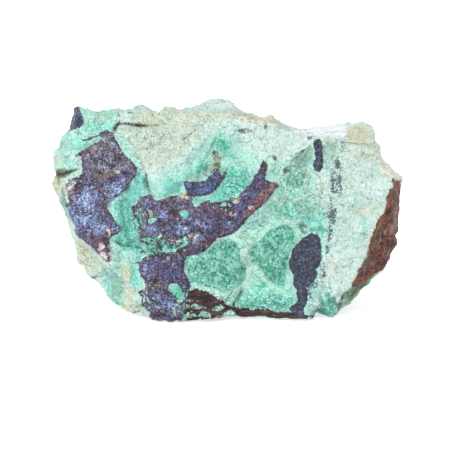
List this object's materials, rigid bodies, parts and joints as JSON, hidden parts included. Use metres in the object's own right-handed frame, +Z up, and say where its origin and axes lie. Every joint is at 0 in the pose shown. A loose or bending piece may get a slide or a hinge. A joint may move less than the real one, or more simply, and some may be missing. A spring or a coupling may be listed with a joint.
{
  "type": "transvaal jade boulder",
  "caption": "Rough block of massive green garnet with violet and dark crusts, standing on its own flat broken underside.",
  "frame": {"origin": "middle of the block's bounding box, on the ground that it stands on", "axes": "+Z up, +X along the block's length, -Y out of the broad face that leans back"},
  "size_m": [0.0874, 0.0438, 0.0509],
  "materials": {
    "stone": "dull broken mint-green garnet rock, with raised crusts of slate violet and brown, inky patches and a rusty side"
  },
  "bodies": {
    "root": {"boulder": "stone"}
  },
  "joints": []
}
